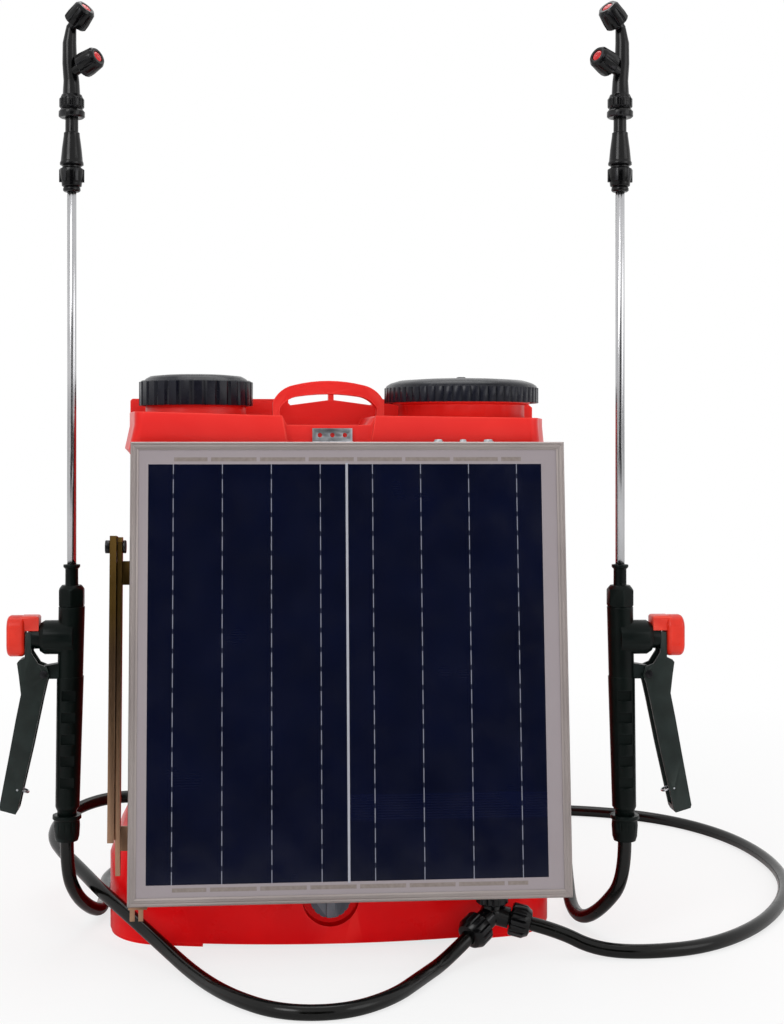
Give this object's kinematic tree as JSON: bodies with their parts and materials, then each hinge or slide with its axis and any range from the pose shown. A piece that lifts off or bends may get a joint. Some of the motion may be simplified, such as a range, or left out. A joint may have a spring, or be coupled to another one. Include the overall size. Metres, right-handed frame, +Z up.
{
  "type": "backpack sprayer",
  "caption": "Knapsack sprayer with a moulded tank on a pump base, a hinged solar panel in front, filler caps on top, shoulder straps behind, and hand lances standing beside it on hoses.",
  "frame": {"origin": "middle of the base's underside, on the floor", "axes": "+X to the right seen from the panel side, +Y towards the wearer's back, +Z up"},
  "size_m": [0.7598, 0.6229, 0.8249],
  "materials": {
    "tank_red_plastic": "blow-moulded polyethylene, semi-gloss",
    "base_red_plastic": "injection-moulded polypropylene, semi-gloss",
    "black_plastic": "moulded polypropylene, satin",
    "black_lance_plastic": "moulded nylon, satin",
    "red_gloss_plastic": "moulded, glossy",
    "knob_black_plastic": "moulded, satin",
    "rubber_seal": "matt",
    "white_plastic": "moulded, satin",
    "hose_rubber": "smooth, semi-gloss",
    "green_board_plastic": "lacquered board",
    "battery_case": "satin",
    "motor_steel": "plated",
    "pump_plastic": "satin",
    "anodised_aluminium": "clear anodised, satin",
    "solar_glass": "tempered, over dark cells",
    "zinc_plated_steel": "zinc plated",
    "yellow_zinc_steel": "yellow passivated zinc",
    "stainless_tube": "drawn stainless, bright",
    "spring_wire": "bright wire",
    "foam_pad": "knitted mesh over foam",
    "strap_fabric": "woven webbing over foam",
    "hook_plastic": "satin"
  },
  "bodies": {
    "sprayer": {"tank_shell": "tank_red_plastic", "filler_necks": "tank_red_plastic", "base_housing": "base_red_plastic", "bottom_cover": "black_plastic", "outlet_elbow": "black_plastic", "outlet_tee": "black_plastic", "tee_nuts": "black_plastic", "left_handle": "black_lance_plastic", "right_handle": "black_lance_plastic", "hose_nuts": "black_lance_plastic", "tube_glands": "black_lance_plastic", "panel_rests": "rubber_seal", "left_hose": "hose_rubber", "right_hose": "hose_rubber", "inner_hoses": "hose_rubber", "control_electronics": "green_board_plastic", "battery": "battery_case", "pump_motor": "motor_steel", "pump_head": "pump_plastic", "tank_hinge_leaf": "zinc_plated_steel", "hinge_pin": "zinc_plated_steel", "cover_screws": "zinc_plated_steel", "lever_pins": "zinc_plated_steel", "back_pad": "foam_pad", "left_strap": "strap_fabric", "right_strap": "strap_fabric", "strap_hooks": "hook_plastic"},
    "solar_panel": {"panel_frame": "anodised_aluminium", "solar_laminate": "solar_glass", "junction_box": "black_plastic", "panel_hinge_leaf": "zinc_plated_steel", "frame_brackets": "yellow_zinc_steel", "leg_bolts": "zinc_plated_steel"},
    "left_leg": {"left_prop_leg": "yellow_zinc_steel"},
    "strainer": {"strainer_basket": "white_plastic"},
    "fill_seal": {"fill_gasket": "rubber_seal"},
    "fill_lid": {"fill_cap": "black_plastic"},
    "small_seal": {"small_gasket": "rubber_seal"},
    "small_lid": {"small_cap": "black_plastic"},
    "speed_dial": {"speed_knob": "knob_black_plastic"},
    "left_lever": {"left_trigger_lever": "black_lance_plastic"},
    "left_valve": {"left_valve_knob": "red_gloss_plastic"},
    "left_lock": {"left_lock_hook": "spring_wire"},
    "left_wand": {"left_wand_tube": "stainless_tube", "left_tip_collet": "black_lance_plastic", "left_nozzle_head": "black_lance_plastic"},
    "left_upper_nozzle": {"left_upper_nozzle_cap": "black_lance_plastic", "left_upper_nozzle_disc": "red_gloss_plastic"},
    "left_lower_nozzle": {"left_lower_nozzle_cap": "black_lance_plastic", "left_lower_nozzle_disc": "red_gloss_plastic"},
    "right_lever": {"right_trigger_lever": "black_lance_plastic"},
    "right_valve": {"right_valve_knob": "red_gloss_plastic"},
    "right_lock": {"right_lock_hook": "spring_wire"},
    "right_wand": {"right_wand_tube": "stainless_tube", "right_tip_collet": "black_lance_plastic", "right_nozzle_head": "black_lance_plastic"},
    "right_upper_nozzle": {"right_upper_nozzle_cap": "black_lance_plastic", "right_upper_nozzle_disc": "red_gloss_plastic"},
    "right_lower_nozzle": {"right_lower_nozzle_cap": "black_lance_plastic", "right_lower_nozzle_disc": "red_gloss_plastic"}
  },
  "joints": [
    {"name": "panel_tilt", "type": "hinge", "parent": "sprayer", "child": "solar_panel", "pos_m": [-0.002, -0.104, 0.437], "axis": [-1, 0, 0], "range_deg": [0, 90]},
    {"name": "left_leg_swing", "type": "hinge", "parent": "solar_panel", "child": "left_leg", "pos_m": [-0.1882, -0.12751, 0.35175], "axis": [1, 0, 0], "range_deg": [0, 90]},
    {"name": "strainer_lift", "type": "slide", "parent": "sprayer", "child": "strainer", "axis": [0, 0, 1], "range_m": [0, 0.09]},
    {"name": "fill_cap_lift", "type": "slide", "parent": "strainer", "child": "fill_seal", "axis": [0, 0, 1], "range_m": [0, 0.04]},
    {"name": "fill_cap_turn", "type": "hinge", "parent": "fill_seal", "child": "fill_lid", "pos_m": [0.1224, -0.015, 0.48], "axis": [0, 0, 1], "continuous": true},
    {"name": "small_cap_lift", "type": "slide", "parent": "sprayer", "child": "small_seal", "axis": [0, 0, 1], "range_m": [0, 0.04]},
    {"name": "small_cap_turn", "type": "hinge", "parent": "small_seal", "child": "small_lid", "pos_m": [-0.1235, -0.01, 0.48], "axis": [0, 0, 1], "continuous": true},
    {"name": "speed_turn", "type": "hinge", "parent": "sprayer", "child": "speed_dial", "pos_m": [-0.004, -0.09, 0.043], "axis": [0, -1, 0], "range_deg": [0, 270]},
    {"name": "left_lever_squeeze", "type": "hinge", "parent": "sprayer", "child": "left_lever", "pos_m": [-0.2532, -0.07, 0.2376], "axis": [0, -1, 0], "range_deg": [0, 12], "stiffness_Nm_per_rad": 0.6, "springref_deg": -8.59},
    {"name": "left_valve_pull", "type": "slide", "parent": "sprayer", "child": "left_valve", "axis": [-1, 0, 0], "range_m": [0, 0.0072]},
    {"name": "left_lock_fold", "type": "hinge", "parent": "left_lever", "child": "left_lock", "pos_m": [-0.276, -0.07, 0.137], "axis": [0, 1, 0], "range_deg": [0, 75]},
    {"name": "left_wand_turn", "type": "hinge", "parent": "sprayer", "child": "left_wand", "pos_m": [-0.23, -0.07, 0.3], "axis": [0, 0, 1], "range_deg": [-180, 180]},
    {"name": "left_upper_nozzle_turn", "type": "hinge", "parent": "left_wand", "child": "left_upper_nozzle", "pos_m": [-0.2275, -0.072, 0.80678], "axis": [0.62, -0.4, 0.675], "range_deg": [0, 270]},
    {"name": "left_lower_nozzle_turn", "type": "hinge", "parent": "left_wand", "child": "left_lower_nozzle", "pos_m": [-0.21995, -0.07702, 0.76819], "axis": [0.7818, -0.5012, 0.3709], "range_deg": [0, 270]},
    {"name": "right_lever_squeeze", "type": "hinge", "parent": "sprayer", "child": "right_lever", "pos_m": [0.2732, -0.106, 0.2376], "axis": [0, 1, 0], "range_deg": [0, 12], "stiffness_Nm_per_rad": 0.6, "springref_deg": -8.59},
    {"name": "right_valve_pull", "type": "slide", "parent": "sprayer", "child": "right_valve", "axis": [1, 0, 0], "range_m": [0, 0.0072]},
    {"name": "right_lock_fold", "type": "hinge", "parent": "right_lever", "child": "right_lock", "pos_m": [0.296, -0.106, 0.137], "axis": [0, -1, 0], "range_deg": [0, 75]},
    {"name": "right_wand_turn", "type": "hinge", "parent": "sprayer", "child": "right_wand", "pos_m": [0.25, -0.106, 0.3], "axis": [0, 0, 1], "range_deg": [-180, 180]},
    {"name": "right_upper_nozzle_turn", "type": "hinge", "parent": "right_wand", "child": "right_upper_nozzle", "pos_m": [0.2475, -0.108, 0.80678], "axis": [-0.62, -0.4, 0.675], "range_deg": [0, 270]},
    {"name": "right_lower_nozzle_turn", "type": "hinge", "parent": "right_wand", "child": "right_lower_nozzle", "pos_m": [0.23995, -0.11302, 0.76819], "axis": [-0.7818, -0.5012, 0.3709], "range_deg": [0, 270]}
  ],
  "couplings": [
    {"joint": "left_valve_pull", "follows": "left_lever_squeeze", "m_per_rad": 0.0312},
    {"joint": "right_valve_pull", "follows": "right_lever_squeeze", "m_per_rad": 0.0312}
  ]
}
